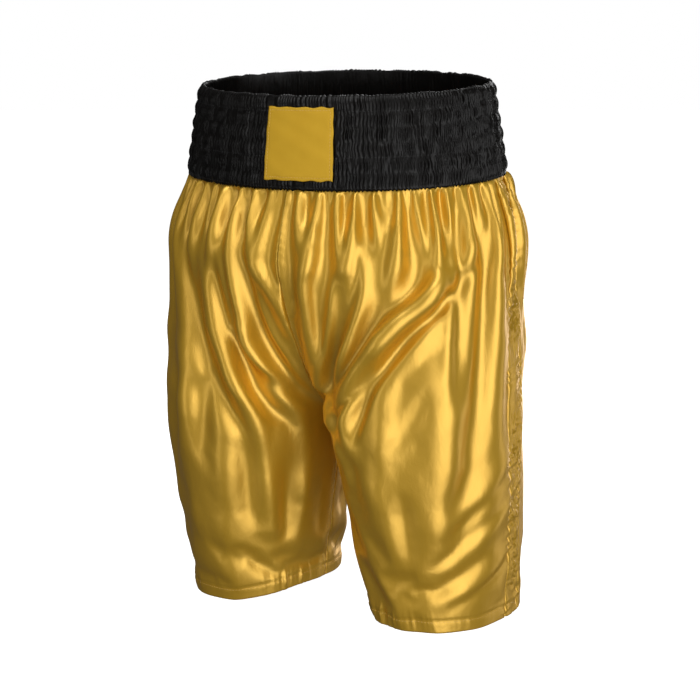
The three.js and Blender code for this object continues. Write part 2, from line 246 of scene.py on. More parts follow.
# Sum of crests: at distance d from each curve a bell of d with a shallow trough beside it, one flank
# steeper than the other, the crest's height tapering as a sine towards the curve's ends
def foldHeights(points, side):
    total = np.zeros(points.shape[:2])
    flat = points.reshape(-1, 3)
    every = np.arange(len(flat))
    for number, (which, height, width, path) in enumerate(folds):
        if which not in (side, 0):
            continue
        path = np.array(path, float)
        uv = throughRows(path, np.linspace(0, len(path) - 1 - 1e-6, foldShape["samples"]))
        crest = halfSurface(uv[:, 0], uv[:, 1]) * [side, 1, 1]
        start, leg = crest[:-1], np.diff(crest, axis=0)
        gap = flat[:, None, :] - start[None]
        t = np.clip((gap * leg).sum(-1) / (leg**2).sum(-1), 0, 1)
        gap = gap - t[..., None] * leg
        square = (gap**2).sum(-1)
        nearest = square.argmin(1)
        distance = np.sqrt(square[every, nearest])
        out = np.cross(leg[nearest], flat * [1, 1, 0])
        size = np.maximum(np.linalg.norm(out, axis=-1) * distance, 1e-9)
        sideOf = (gap[every, nearest] * out).sum(-1) / size
        both, steeper = foldShape["flank"]
        w = width / 1000 * (both - steeper * sideOf * (1 if number % 2 else -1))
        share = (nearest + t[every, nearest]) / len(leg)
        taper = np.sin(math.pi * np.clip(share * 0.92 + 0.04, 0, 1)) ** 0.6
        depth, away, spread = foldShape["trough"]
        wave = bump(distance, w) - depth * bump(distance - away * w, spread * w)
        total += (height / 1000 * taper * wave).reshape(total.shape)
    return total


# Gathers under the waist seam: height, how many across a half, v where strongest, reach in v
gathers = {
    "fine": (0.0017, 56, 0, 0.055),
    "middle": (0.0030, 27, 0.06, 0.08),
    "broad": (0.0034, 13, 0.15, 0.12),
}
swells = {"slow": 0.0028, "fine": 0.0010, "cross": 0.0007}


# Cosines of a warped u, each about half as many as the last and reaching lower
def gatherHeights(u, v, side):
    warped = u + 0.006 * wobble(u, 5, 2, 9, 21 + side) + 0.004 * wobble(u + 0.3 * v, 4, 8, 16, 31 + side)
    uneven = 1 + 0.45 * wobble(u, 6, 5, 20, 41 + side)
    height, count, _, reach = gathers["fine"]
    total = height * np.cos(2 * math.pi * count * warped) * bump(v, reach * np.clip(uneven, 0.4, 2))
    height, count, place, reach = gathers["middle"]
    total = total + height * np.cos(2 * math.pi * count * warped + 1) * bump(v - place, reach) * uneven
    height, count, place, reach = gathers["broad"]
    wave = height * np.cos(2 * math.pi * count * warped + 2) * bump(v - place, reach)
    total = total + wave * smooth(v / 0.1)
    return total * (1 - 0.4 * bump(u - 0.42, 0.13) * smooth(v / 0.06))  # lower beside the strip


# Slow swells of the hanging cloth: sums of sines of u and v, growing down the legs
def restHeights(u, v, side):
    slow = wobble(u + 0.15 * v, 5, 2, 6, 51 + side) * smooth((v - 0.3) / 0.4)
    fine = wobble(u - 0.3 * v, 6, 6, 14, 61 + side) * smooth((v - 0.1) / 0.3)
    cross = wobble(v + 0.4 * u, 6, 3, 10, 71 + side) * smooth((v - 0.2) / 0.3)
    return swells["slow"] * slow + swells["fine"] * fine + swells["cross"] * cross


# Folds, swells and gathers together, lower at the seams, the hem and the crotch and none at the waist
def placedHeights(side, foldShare=1, gatherShare=1):
    height = foldShare * (foldHeights(baseHalf * [side, 1, 1], side) + restHeights(uGrid, vGrid, side))
    height = height * mix(1, foldShare, smooth((vGrid - 0.45) / 0.2))
    height = height + gatherShare * gatherHeights(uGrid, vGrid, side)
    nearHem = 1 - 0.45 * smooth((vGrid - 0.85) / 0.15)
    fromSeam = np.minimum(uGrid, 1 - uGrid)
    seamHold = mix(0.45, 1, smooth(fromSeam / 0.03))
    calm = 1 - 0.92 * bump(vGrid - shape["crotchShare"] - 0.02, 0.1) * bump(fromSeam, 0.07)
    height = np.clip(height, foldShape["lowest"], foldShape["highest"])
    return height * nearHem * seamHold * calm * smooth(vGrid / 0.012)


def raised(p, side, height):  # moved out along the normals
    return p + gridNormals(p, side) * height[..., None]


halves = {side: raised(baseHalf * [side, 1, 1], side, placedHeights(side)) for side in (1, -1)}


# Both halves meet in the centre plane, and each leg closes on itself at the inseam
def meetAtSeams(halves):
    for column in (0, -1):
        middle = (halves[1][: crotchRow + 1, column] + halves[-1][: crotchRow + 1, column]) / 2
        for side in (1, -1):
            halves[side][: crotchRow + 1, column] = middle * [0, 1, 1]
    for side in (1, -1):
        middle = (halves[side][crotchRow:, 0] + halves[side][crotchRow:, -1]) / 2
        halves[side][crotchRow:, 0] = middle
        halves[side][crotchRow:, -1] = middle


meetAtSeams(halves)
print("half-garments shaped")


# A grid with more points: cubics through its rows, then through its columns
def finer(p, factor=grid["finer"]):
    for axis in (0, 1):
        p = np.moveaxis(p, axis, 0)
        steps = len(p) - 1
        p = throughRows(p, np.linspace(0, steps, steps * factor + 1))
        p = np.moveaxis(p, 0, axis)
    return p


# Mesh object from an (n, 3) array of points and an (m, 4) array of corner numbers
def addMesh(name, points, faces, uv=None):
    mesh = bpy.data.meshes.new(name)
    faces = np.asarray(faces)
    mesh.from_pydata(np.asarray(points, float).tolist(), [], faces.tolist())
    if uv is not None:
        layer = mesh.uv_layers.new(name="UVMap")
        layer.data.foreach_set("uv", np.asarray(uv, np.float32)[faces.reshape(-1)].reshape(-1))
    mesh.polygons.foreach_set("use_smooth", np.full(len(mesh.polygons), True))
    mesh.update()
    obj = bpy.data.objects.new(name, mesh)
    scene.collection.objects.link(obj)
    return obj


# Quads of a rows by columns grid whose points are numbered row by row
def gridFaces(rows, columns, loopRows=False, loopColumns=False, flip=False):
    r = np.arange(rows if loopRows else rows - 1)[:, None]
    c = np.arange(columns if loopColumns else columns - 1)[None, :]
    r2, c2 = (r + 1) % rows, (c + 1) % columns
    corners = [r * columns + c, r * columns + c2, r2 * columns + c2, r2 * columns + c]
    quads = np.stack(corners, -1).reshape(-1, 4)
    return quads[:, ::-1] if flip else quads


# Cloth simulation of the whole satin shell, hung from the waist seam over an unseen body
drape = {
    "frames": 26,
    "quality": 6,
    "fuller": (1.15, 1.07),  # rest girth over the shaped girth, at the waist and lower down
    "longer": 1.012,
    "bodyInset": 0.009,
    "topHeld": 0.012,        # v above which the cloth is pinned
    "hold": 0.012,           # how firmly the shaped folds are kept
    "hemHold": 0.25,
    "pointMass": 0.004,
    "bending": 0.35,
    "stiffness": 12,
    "gap": 0.001,            # kept between cloth and body
    "evenRounds": (2, 120),  # over the whole cloth, and near the crotch alone
    "evenShare": 0.6,
    "regain": (0.5, 0.8),    # shares of the placed folds and of the gathers added after draping
}


# One welded mesh of both halves: Cloth settles it, and its points come back as two grids
def drapeSatin(halves):
    points = np.concatenate([halves[1].reshape(-1, 3), halves[-1].reshape(-1, 3)])
    body = []
    for side in (1, -1):
        base = baseHalf * [side, 1, 1]
        body.append((base - gridNormals(base, side) * drape["bodyInset"]).reshape(-1, 3))
    body = np.concatenate(body)
    _, first, group = np.unique(np.round(points, 7), axis=0, return_index=True, return_inverse=True)
    group = group.reshape(-1)
    rows, columns = vGrid.shape
    quads = gridFaces(rows, columns)
    faces = np.concatenate([quads[:, ::-1], quads + rows * columns])
    cloth = addMesh("drapeCloth", points[first], group[faces])
    collider = addMesh("drapeBody", body[first], group[faces])
    hold = cloth.vertex_groups.new(name="hold")
    share = np.concatenate([vGrid.reshape(-1)] * 2)[first]
    weights = drape["hold"] + (1 - drape["hold"]) * (share < drape["topHeld"])
    weights = weights + drape["hemHold"] * smooth((share - 0.93) / 0.07)
    for weight in np.unique(np.round(weights, 3)):
        members = np.flatnonzero(np.round(weights, 3) == weight)
        hold.add(members.tolist(), float(min(weight, 1)), "REPLACE")
    cloth.shape_key_add(name="shaped")
    fuller = cloth.shape_key_add(name="fuller")
    girth = mix(drape["fuller"][0], drape["fuller"][1], smooth(share / 0.3))[:, None]
    rest = points[first] * np.concatenate([girth, girth, np.full_like(girth, drape["longer"])], 1)
    fuller.data.foreach_set("co", rest.astype(np.float32).reshape(-1))
    fuller.value = 0
    collider.modifiers.new("Collision", "COLLISION")
    collider.collision.thickness_outer = drape["gap"]
    collider.collision.cloth_friction = 4
    made = cloth.modifiers.new("Cloth", "CLOTH")
    made.point_cache.frame_end = drape["frames"]
    settings = made.settings
    settings.quality = drape["quality"]
    settings.mass = drape["pointMass"]
    settings.tension_stiffness = settings.compression_stiffness = drape["stiffness"]
    settings.shear_stiffness = drape["stiffness"] / 2
    settings.bending_stiffness = drape["bending"]
    settings.vertex_group_mass = "hold"
    settings.rest_shape_key = fuller
    settings.air_damping = 2
    made.collision_settings.distance_min = drape["gap"]
    made.collision_settings.use_self_collision = False
    for number in range(1, drape["frames"] + 1):
        scene.frame_set(number)
    settled = cloth.evaluated_get(bpy.context.evaluated_depsgraph_get())
    result = np.empty(len(first) * 3, np.float32)
    settled.data.vertices.foreach_get("co", result)
    result = result.reshape(-1, 3).astype(float)[group]
    for obj in (cloth, collider):
        bpy.data.objects.remove(obj, do_unlink=True)
    scene.frame_set(1)
    half = rows * columns
    return {1: result[:half].reshape(rows, columns, 3), -1: result[half:].reshape(rows, columns, 3)}


# Points averaged with their four neighbours, the seams' points only with those above and below
def evened(p, rounds, share):
    share = share[1:-1, :, None] if np.ndim(share) else share
    for _ in range(rounds):
        new = (p[:-2] + p[2:]) / 2
        new[:, 1:-1] = (new[:, 1:-1] + (p[1:-1, :-2] + p[1:-1, 2:]) / 2) / 2
        p[1:-1] = mix(p[1:-1], new, share)
    return p


# The draped cloth with part of the placed folds added again, as they lose height in the draping
def deepened(halves):
    fromSeam = np.minimum(uGrid, 1 - uGrid)
    nearCrotch = bump(vGrid - shape["crotchShare"] - 0.02, 0.10) * bump(fromSeam, 0.09)
    everywhere, atCrotch = drape["evenRounds"]
    result = {}
    for side in (1, -1):
        calm = evened(halves[side], everywhere, drape["evenShare"])
        calm = evened(calm, atCrotch, drape["evenShare"] * nearCrotch)
        result[side] = raised(calm, side, placedHeights(side, *drape["regain"]))
    return result


halves = drapeSatin(halves)
halves = deepened(halves)
meetAtSeams(halves)
print("satin draped")


def thicken(obj, thickness):  # inwards
    thick = obj.modifiers.new("Thickness", "SOLIDIFY")
    thick.thickness = thickness
    thick.offset = -1
    thick.use_even_offset = False


def finishPiece(obj, material, slotName, *nodes):  # nodes: the CAD nodes that obj stands for
    obj.data.materials.append(material)
    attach(obj, "root")
    if nodes:
        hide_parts(*nodes)
    return obj


# A shader socket with arithmetic: each operator adds a Math node
class Value:
    def __init__(self, tree, socket):
        self.tree, self.socket = tree, socket

    def join(self, operation, a, b):
        return self.tree.node("ShaderNodeMath", {"operation": operation}, {0: a, 1: b}).value(0)

    def __add__(self, other):
        return self.join("ADD", self, other)

    def __radd__(self, other):
        return self.join("ADD", other, self)

    def __mul__(self, other):
        return self.join("MULTIPLY", self, other)

    def __rmul__(self, other):
        return self.join("MULTIPLY", other, self)


# A new node and the tree that it is in
class Made:
    def __init__(self, tree, made):
        self.tree, self.made = tree, made

    def value(self, output):
        return Value(self.tree, self.made.outputs[output])


# One material: constants go on its shader, and node() is the one way that nodes are added
class Finish:
    def __init__(self, name, **settings):
        self.material = bpy.data.materials.new(name)
        self.material.use_nodes = True
        self.nodes = self.material.node_tree.nodes
        self.links = self.material.node_tree.links
        self.shader = self.nodes["Principled BSDF"]
        for socket, value in settings.items():
            self.shader.inputs[socket.replace("_", " ")].default_value = value

    def node(self, kind, settings=None, inputs=None):
        made = self.nodes.new(kind)
        for key, value in (settings or {}).items():
            if key == "stops":
                while len(made.color_ramp.elements) < len(value):
                    made.color_ramp.elements.new(0.5)
                for stop, (place, colour) in zip(made.color_ramp.elements, value):
                    stop.position, stop.color = place, colour
            else:
                setattr(made, key, value)
        for key, value in (inputs or {}).items():
            self.connect(made.inputs[key], value)
        return Made(self, made)

    def connect(self, socket, value):
        if isinstance(value, Value):
            self.links.new(value.socket, socket)
        else:
            socket.default_value = value

    def feed(self, socket, value):
        self.connect(self.shader.inputs[socket], value)

    def objectPlace(self):
        return self.node("ShaderNodeTexCoord").value("Object")

    def uvPlace(self):
        return self.node("ShaderNodeUVMap", {"uv_map": "UVMap"}).value("UV")

    def noise(self, place, scale, detail=2, rough=0.5, distortion=0):
        inputs = {"Vector": place, "Scale": scale, "Detail": detail, "Roughness": rough}
        inputs["Distortion"] = distortion
        return self.node("ShaderNodeTexNoise", None, inputs).value("Fac")

    def stretched(self, place, scale):
        return self.node("ShaderNodeMapping", None, {"Vector": place, "Scale": scale}).value("Vector")

    def colourMix(self, factor, a, b):
        made = self.node("ShaderNodeMix", {"data_type": "RGBA"})
        self.connect(made.made.inputs[0], factor)
        self.connect(made.made.inputs[6], a)
        self.connect(made.made.inputs[7], b)
        return made.value(2)

    def raisedBy(self, height, strength, distance, normal=None):
        inputs = {"Height": height, "Strength": strength, "Distance": distance}
        if normal is not None:
            inputs["Normal"] = normal
        return self.node("ShaderNodeBump", None, inputs).value("Normal")


# Polyester satin: streaks run down the cloth, weft threads across it, and soft creases over both
def goldSatin():
    f = Finish("goldSatin", Metallic=0.52, Roughness=0.4, IOR=2.5, Specular_Tint=(1, 0.82, 0.6, 1))
    warm = (0.68, 0.395, 0.024, 1)
    deep = (0.59, 0.330, 0.012, 1)
    place = f.objectPlace()
    streaks = f.noise(f.stretched(f.uvPlace(), (330, 14, 1)), 1, 3)
    tone = 0.75 * f.noise(place, 14, 3) + 0.25 * streaks
    f.feed("Base Color", f.colourMix(tone, deep, warm))
    threads = f.noise(f.stretched(f.uvPlace(), (260, 2600, 1)), 1, 2)
    f.feed("Roughness", 0.31 + 0.10 * threads + 0.06 * streaks)
    creases = f.noise(f.stretched(place, (1, 1, 0.55)), 55, 4, 0.55, 0.4)
    crinkle = f.raisedBy(creases, 0.17, 0.004)
    f.feed("Normal", f.raisedBy(threads, 0.06, 0.0004, crinkle))
    return f.material


# Shirred satin: nearly black, with tiny upright creases
def blackSatin():
    f = Finish("blackSatin", Roughness=0.4, Specular_IOR_Level=0.2)
    dark = (0.0008, 0.0006, 0.0004, 1)
    light = (0.0030, 0.0023, 0.0018, 1)
    place = f.objectPlace()
    f.feed("Base Color", f.colourMix(f.noise(place, 40, 3), dark, light))
    creases = f.noise(f.stretched(place, (1, 1, 0.3)), 420, 3, 0.6)
    f.feed("Roughness", 0.26 + 0.16 * creases)
    f.feed("Normal", f.raisedBy(creases, 0.35, 0.0012))
    return f.material


# Matt twill with fine diagonal ribs
def patchTwill():
    f = Finish("patchTwill", Roughness=0.75, Specular_IOR_Level=0.25)
    dark = (0.50, 0.287, 0.014, 1)
    light = (0.56, 0.330, 0.020, 1)
    place = f.uvPlace()
    wave = {"Vector": place, "Scale": 330, "Distortion": 0.6, "Detail": 1}
    rib = f.node("ShaderNodeTexWave", {"bands_direction": "DIAGONAL"}, wave).value("Fac")
    f.feed("Base Color", f.colourMix(f.noise(place, 60, 4), dark, light))
    f.feed("Normal", f.raisedBy(rib, 0.12, 0.0002))
    return f.material


def spunThread(name, dark, light):
    f = Finish(name, Roughness=0.55)
    f.feed("Base Color", f.colourMix(f.noise(f.objectPlace(), 900, 1), dark, light))
    return f.material


# Ribbed elastic, its ribs lying along the band
def wovenElastic():
    f = Finish("wovenElastic", Roughness=0.85)
    rib = f.noise(f.stretched(f.objectPlace(), (1, 1, 8)), 300, 2)
    f.feed("Base Color", f.colourMix(rib, (0.02, 0.018, 0.016, 1), (0.06, 0.055, 0.05, 1)))
    f.feed("Normal", f.raisedBy(rib, 0.4, 0.0005))
    return f.material


gold, black, twill = goldSatin(), blackSatin(), patchTwill()
goldThread = spunThread("goldThread", (0.45, 0.26, 0.04, 1), (0.75, 0.50, 0.13, 1))
blackThread = spunThread("blackThread", (0.006, 0.006, 0.006, 1), (0.02, 0.02, 0.02, 1))
elastic = wovenElastic()

# Satin panels
satin = {"thickness": 0.0006, "hemTurn": 0.015, "hemRows": 6, "topRows": 3, "topTuck": 0.006}

# Puckers, metres: wave lengths, height, reach from the stitching, and the groove that it pulls in
puckers = {
    "hem": {"waves": (0.013, 0.007), "height": 0.0013, "from": 0.012, "reach": 0.010},
    "hemGroove": {"depth": 0.0007, "from": 0.0145, "width": 0.0016},
    "side": {"wave": 0.012, "height": 0.0013, "onStrip": 0.013, "onPanel": 0.007, "groove": 0.0017},
    "strip": {"waves": (0.019, 0.0105), "height": 0.0016},
    "rise": {"wave": 0.010, "height": 0.0003, "reach": 0.006, "groove": 0.0009, "width": 0.0016},
}
edgeColumns = [grid["finer"] * column for column in (
    0,
    grid["front"],
    grid["front"] + grid["strip"],
    grid["front"] + grid["strip"] + grid["back"],
)]


def rippled(along, length, swing, count, low, high, seed):  # cosine of a length, its phase wandering
    return np.cos(2 * math.pi * along / length + swing * wobble(along, count, low, high, seed))


def hemHeights(v, side, arc):
    hem, groove = puckers["hem"], puckers["hemGroove"]
    fromHem = (1 - v) / (1 - shape["crotchShare"]) * shape["crotchHeight"]
    lean = arc + 0.25 * fromHem * wobble(arc, 4, 6, 18, 85 + side)
    ripple = rippled(lean, hem["waves"][0], 3.5, 6, 10, 45, 81 + side)
    ripple = ripple + 0.5 * rippled(lean, hem["waves"][1], 3, 6, 20, 60, 88 + side)
    patchy = np.clip(0.35 + 0.9 * wobble(arc, 5, 2, 9, 91 + side), 0.05, 1.7)
    ridges = hem["height"] * ripple * patchy * bump(fromHem - hem["from"], hem["reach"])
    return ridges - groove["depth"] * bump(fromHem - groove["from"], groove["width"])


def stripHeights(along, column, side):  # slanting creases, strongest down the middle of the strip
    strip = puckers["strip"]
    across = np.clip((column - edgeColumns[1]) / (edgeColumns[2] - edgeColumns[1]), 0, 1)
    onStrip = np.sin(math.pi * across) ** 0.7
    slant = along + 0.006 * wobble(along + 0.4 * across, 4, 8, 30, 131 + side) + 0.003 * across
    crease = rippled(slant, strip["waves"][0], 3, 5, 4, 18, 141 + side)
    wander = 3 * wobble(slant, 5, 9, 30, 151 + side) + 2 * across
    crease = crease + 0.4 * np.cos(2 * math.pi * slant / strip["waves"][1] + wander)
    patchy = np.clip(0.7 + 0.5 * wobble(along, 4, 3, 9, 161 + side), 0.2, 1.6)
    return strip["height"] * crease * onStrip * patchy


# The half grid with more points, raised by its puckers: cosines of the length along each seam,
# fading away from it, and a narrow groove where the stitching pulls the cloth in
def panelGrid(side):
    p = finer(halves[side])
    v = finer(vGrid[..., None])[..., 0]
    arc = np.cumsum(np.linalg.norm(np.diff(p[-1], axis=0, prepend=p[-1][:1]), axis=1))[None, :]
    along = np.cumsum(np.linalg.norm(np.diff(p, axis=0, prepend=p[:1]), axis=2), 0)
    column = np.arange(p.shape[1])[None, :]
    width = np.linalg.norm(np.gradient(p, axis=1), axis=-1)
    height = hemHeights(v, side, arc)
    seam = puckers["side"]
    for number, edge in enumerate(edgeColumns[1:3]):
        off = (column - edge) * width
        ripple = rippled(along, seam["wave"], 3, 5, 6, 30, 101 + side + number)
        patchy = np.clip(0.6 + 0.7 * wobble(along, 5, 4, 12, 111 + side + number), 0.1, 1.7)
        inside = off > 0 if number == 0 else off < 0
        reach = np.where(inside, seam["onStrip"], seam["onPanel"])
        height = height + seam["height"] * ripple * patchy * bump(off, reach)
        height = height - seam["groove"] * bump(off, seam["groove"])
    height = height + stripHeights(along, column, side)
    seam = puckers["rise"]
    for edge in (0, p.shape[1] - 1):
        off = (column - edge) * width
        ripple = rippled(along, seam["wave"], 2.5, 5, 6, 25, 121 + edge)
        pulled = seam["height"] * ripple * bump(off, seam["reach"])
        pulled = pulled - seam["groove"] * bump(off, seam["width"])
        height = height + pulled * smooth(v / 0.05)
    height = height * smooth(v / 0.01)
    return p + gridNormals(p, side) * height[..., None]


fineHalves = {side: panelGrid(side) for side in (1, -1)}
fineNormals = {side: gridNormals(fineHalves[side], side) for side in (1, -1)}


# One panel: its columns of the half grid, with a top edge tucked up behind the waistband and a hem
# whose rows run back up inside, each a share of the way between two rows of the outside
def satinPiece(side, first, last, name, node):
    p = fineHalves[side][:, first : last + 1]
    n = fineNormals[side][:, first : last + 1]
    t = satin["thickness"]
    lifts = satin["topTuck"] * np.arange(satin["topRows"], 0, -1) / satin["topRows"]
    top = [p[0] + [0, 0, lift] - n[0] * [t, t, 0] for lift in lifts]
    turned = []
    rowStep = np.linalg.norm(p[-1] - p[-2], axis=-1).mean()
    for k in range(satin["hemRows"] + 1):
        back = k * satin["hemTurn"] / satin["hemRows"] / rowStep
        low = int(back)
        row = mix(p[-1 - low], p[-2 - low], back - low)
        turned.append(row - n[-1 - low] * (2.2 * t) * (1 if k else 0.55))
    rows = np.concatenate([np.array(top), p, np.array(turned)[0:1] + [0, 0, -0.0004], np.array(turned)[1:]])
    rows[..., 2] = np.maximum(rows[..., 2], 0.0003)
    h, w = rows.shape[:2]
    across = np.cumsum(np.linalg.norm(np.diff(rows, axis=1, prepend=rows[:, :1]), axis=2), 1)
    down = np.cumsum(np.linalg.norm(np.diff(rows, axis=0, prepend=rows[:1]), axis=2), 0)
    uv = np.stack([across, down], -1).reshape(-1, 2)
    obj = addMesh(name, rows.reshape(-1, 3), gridFaces(h, w, flip=side > 0), uv)
    thicken(obj, t)
    finishPiece(obj, gold, "gold_satin", node)
    print(name, "measures", round(float(across.max()), 3), "by", round(float(down.max()), 3), "m")


# Blank patch on the waistband
patch = {
    "width": 0.078,
    "height": 0.074,
    "offset": 0.014,
    "lift": 0.0105,
    "inset": -0.0038,
    "thick": 0.0011,
    "cells": 70,
    "ragged": 0.0004,        # how far the cut edges wander
    "lip": 0.0032,           # from the edge to the stitching
}

# Waistband: one piece of cloth folded over the rim and closed round the elastic
band = {
    "columns": 1500,
    "outerRows": 40,
    "rimRows": 4,
    "innerRows": 10,
    "hiddenRows": 5,
    "hiddenInsets": (0.0013, 0.0030),  # the elastic lies between
    "channels": 6,
    "firstRow": 0.003,
    "bulge": 0.0011,
    "pleat": 0.0032,
    "pleats": 258,
    "lowest": -0.0009,       # so that no valley reaches the elastic
    "underPatch": 0.0008,
    "depth": 0.0042,         # from the outer face to the facing
    "facing": (0.0010, 0.0011),
}


# Rounded ridges of one channel: |sin| of a warped angle, with sharp valleys between them
def pleats(angle, channel, seed):
    turnShare = angle / (2 * math.pi)
    phase = band["pleats"] * angle / (2 * math.pi) + 0.9 * wobble(turnShare, 7, 8, 40, seed + channel)
    ridge = np.abs(np.sin(math.pi * phase + channel * 1.3))
    size = np.clip(0.75 + 0.45 * wobble(turnShare, 8, 20, 70, seed + 20 + channel), 0.15, 1.5)
    return (ridge - 0.5) * size


# 1 under the patch, falling to 0 within 2 mm of its edges: pleats lie flat there
def patchCover(angle, h):
    turned = (angle + math.pi) % (2 * math.pi) - math.pi
    across = turned * bandMiddleHalf - patch["offset"]
    beside = (np.abs(across) - patch["width"] / 2) / 0.002
    above = (np.abs(h - patch["lift"] - patch["height"] / 2) - patch["height"] / 2) / 0.002
    return 1 - smooth(np.maximum(beside, above) * 0.5 + 0.5)


# Outward offset: a round channel between stitch rows, plus pleats that are lower at the rows
def bandOffset(angle, h, seed, bulge, pleat):
    pitch = (shape["bandHeight"] - band["firstRow"]) / band["channels"]
    place = (h - band["firstRow"]) / pitch
    channel = np.clip(np.floor(place), 0, band["channels"] - 1)
    within = np.clip(place - channel, 0, 1)
    arch = np.clip(np.sin(math.pi * within), 0, 1) ** 0.6
    total = np.zeros(np.broadcast(angle, h).shape)
    for k in range(band["channels"]):
        here = bump(place - 0.5 - k, 0.6)
        total = total + pleats(angle + 0.004 * np.sin(7 * place + k), k, seed) * here
    swell = 1 + 0.25 * wobble(angle / (2 * math.pi) + 0.1 * channel, 6, 10, 30, seed + 50)
    offset = bulge * arch * swell + pleat * (total + 0.25) * mix(0.6, 1, arch)
    return mix(np.maximum(offset, band["lowest"]), band["underPatch"], patchCover(angle, h))


def faceOffset(angle, h):
    return bandOffset(angle, h, 200, band["bulge"], band["pleat"])


# Rows go up the pleated face, over the rim on a half circle and down the facing, then back up and
# down on the side next to the elastic
def waistbandCasing():
    angle = ringAngles[None, :]
    height, depth = shape["bandHeight"], band["depth"]
    outer = np.linspace(0, height - 0.001, band["outerRows"])[:, None]
    ruffle = 0.0015 * pleats(angle, 5, 200) + 0.0005 * wobble(angle / (2 * math.pi), 6, 10, 40, 260)
    ruffle = np.maximum(ruffle, -0.0007)
    out = faceOffset(angle, outer) * smooth((height + 0.002 - outer) / 0.008)
    scallop = 0.0022 * pleats(angle, 0, 200) * bump(outer, 0.005)
    rows = [bandSurface(angle, outer + scallop, -out)]
    turn = math.pi * (np.arange(band["rimRows"])[:, None] + 0.5) / band["rimRows"]
    rimInset = depth * (0.5 - 0.5 * np.cos(turn))
    rows.append(bandSurface(angle, height - 0.001 + 0.0016 * np.sin(turn) + ruffle, rimInset))
    inner = np.linspace(height - 0.002, 0.0, band["innerRows"])[:, None]
    sag = bandOffset(angle, inner, 300, *band["facing"]) * smooth((height - inner) / 0.008)
    rows.append(bandSurface(angle, inner, depth + sag))
    wall = np.linspace(0.0006, height - 0.0024, band["hiddenRows"])[:, None]
    rows.append(bandSurface(angle, wall, band["hiddenInsets"][1]))
    rows.append(bandSurface(angle, wall[::-1], band["hiddenInsets"][0]))
    rows = np.concatenate([np.broadcast_to(row, (len(row), band["columns"], 3)) for row in rows])
    uv = np.stack(np.broadcast_arrays(angle * 0.15, np.arange(len(rows))[:, None] * 0.002), -1)
    faces = gridFaces(len(rows), band["columns"], loopRows=True, loopColumns=True)
    obj = addMesh("waistbandCasing", rows.reshape(-1, 3), faces, uv.reshape(-1, 2))
    finishPiece(obj, black, "black_satin", "waistband_casing")


ringAngles = np.linspace(0, 2 * math.pi, band["columns"], endpoint=False)
waistbandCasing()
print("waistband made")


def patchAngle(across):
    return (patch["offset"] - patch["width"] / 2 + across) / bandMiddleHalf


# Point of the patch: across and up in metres from its lower corner, wrapped on the waistband
def patchPoint(across, up, inset):
    wave = 0.0002 * wobble(across + 2 * up, 5, 6, 26, 400) + 0.0002 * wobble(up - across, 5, 8, 24, 410)
    return bandSurface(patchAngle(across), patch["lift"] + up, inset - wave)


def bandNormal(angle):  # level, square to the seam's ellipse
    x = np.sin(angle) / shape["seamHalf"][0]
    y = -np.cos(angle) / shape["seamHalf"][1]
    size = np.hypot(x, y)
    return np.stack([x / size, y / size, 0 * x], -1)


# A square of points with wandering edges, dented along the stitching and turned down at the border
def waistbandPatch():
    n = patch["cells"]
    s, t = np.meshgrid(np.linspace(0, 1, n), np.linspace(0, 1, n))
    edge = patch["ragged"]
    across = s * patch["width"] + edge * wobble(t, 4, 1, 5, 420) * (2 * s - 1)
    up = t * patch["height"] + edge * wobble(s, 4, 1, 5, 430) * (2 * t - 1)
    rows = patchPoint(across, up, patch["inset"])
    border = np.minimum(np.minimum(s, 1 - s), np.minimum(t, 1 - t)) * patch["width"]
    out = bandNormal(patchAngle(across))
    dent = 0.0004 * bump(border - patch["lip"], 0.001) + 0.0008 * bump(border, 0.0012)
    rows = rows - out * dent[..., None]
    uv = np.stack([across, up], -1).reshape(-1, 2)
    obj = addMesh("waistbandPatch", rows.reshape(-1, 3), gridFaces(n, n), uv)
    thicken(obj, patch["thick"])
    finishPiece(obj, twill, "patch_twill", "waistband_patch")


waistbandPatch()

# Stitches, metres
stitches = {
    "band": {"length": 0.003, "gap": 0.0012, "radius": 0.00028},
    "patch": {"length": 0.0024, "gap": 0.0009, "radius": 0.0003},
    "seam": {"length": 0.0026, "gap": 0.0010, "radius": 0.00026},
}
rod = {"rings": 5, "sides": 6}


